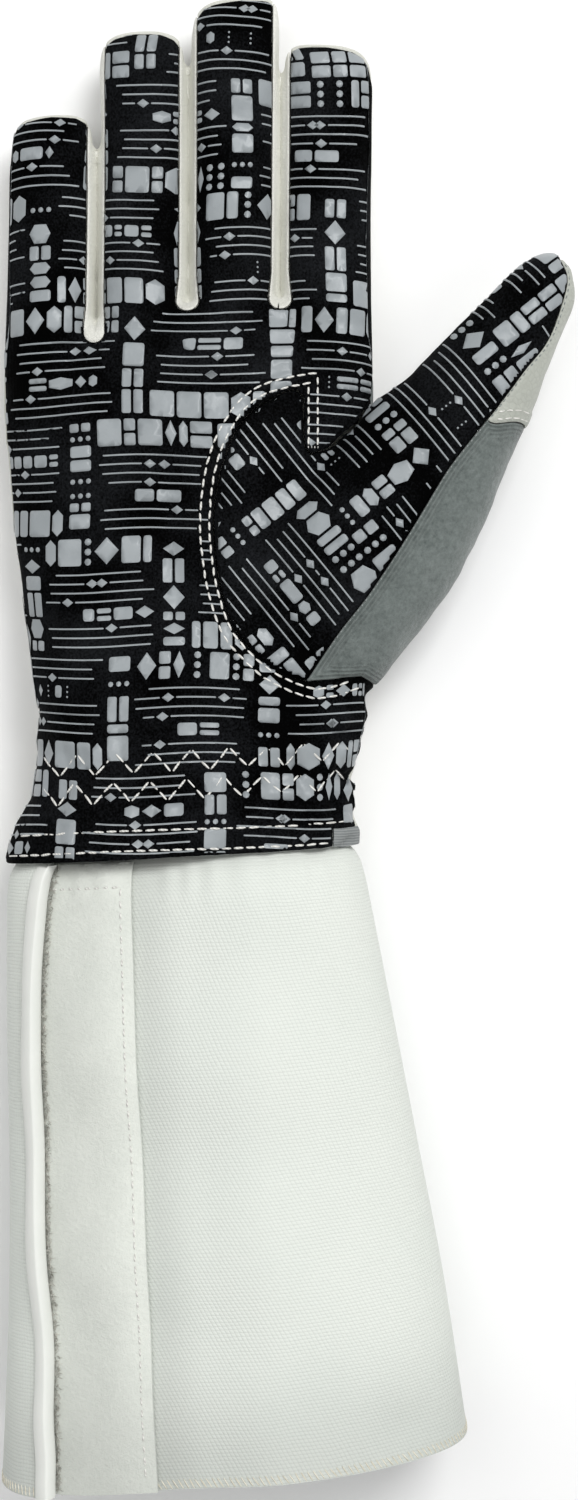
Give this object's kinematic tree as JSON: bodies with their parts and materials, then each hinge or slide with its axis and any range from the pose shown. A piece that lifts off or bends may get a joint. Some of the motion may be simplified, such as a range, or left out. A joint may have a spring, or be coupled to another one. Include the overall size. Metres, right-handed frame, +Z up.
{
  "type": "fencing glove",
  "caption": "Right-hand gauntlet glove lying palm up, with a printed grip palm, a leather thumb cap and a long flared wrap cuff with a closing tape.",
  "frame": {"origin": "centre of the bounding box's base, on the surface that the glove lies on", "axes": "+Z up out of the palm, +Y along the fingers, +X towards the thumb"},
  "size_m": [0.1518, 0.3892, 0.0624],
  "materials": {
    "palm_fabric": "matte",
    "white_leather": "satin",
    "grey_suede": "matte",
    "cuff_knit": "matte",
    "closing_tape": "matte",
    "edge_tape": "satin"
  },
  "bodies": {
    "root": {"palm_panel": "palm_fabric", "thumb_front": "palm_fabric", "thumb_back": "grey_suede", "thumb_tip_cap": "white_leather", "hand_back": "white_leather", "fourchette_little_ring": "white_leather", "fourchette_ring_middle": "white_leather", "fourchette_middle_index": "white_leather", "hem_tab": "grey_suede", "cuff_wall": "cuff_knit", "loop_tape": "closing_tape", "hook_tape": "closing_tape", "edge_binding": "edge_tape"}
  },
  "joints": []
}
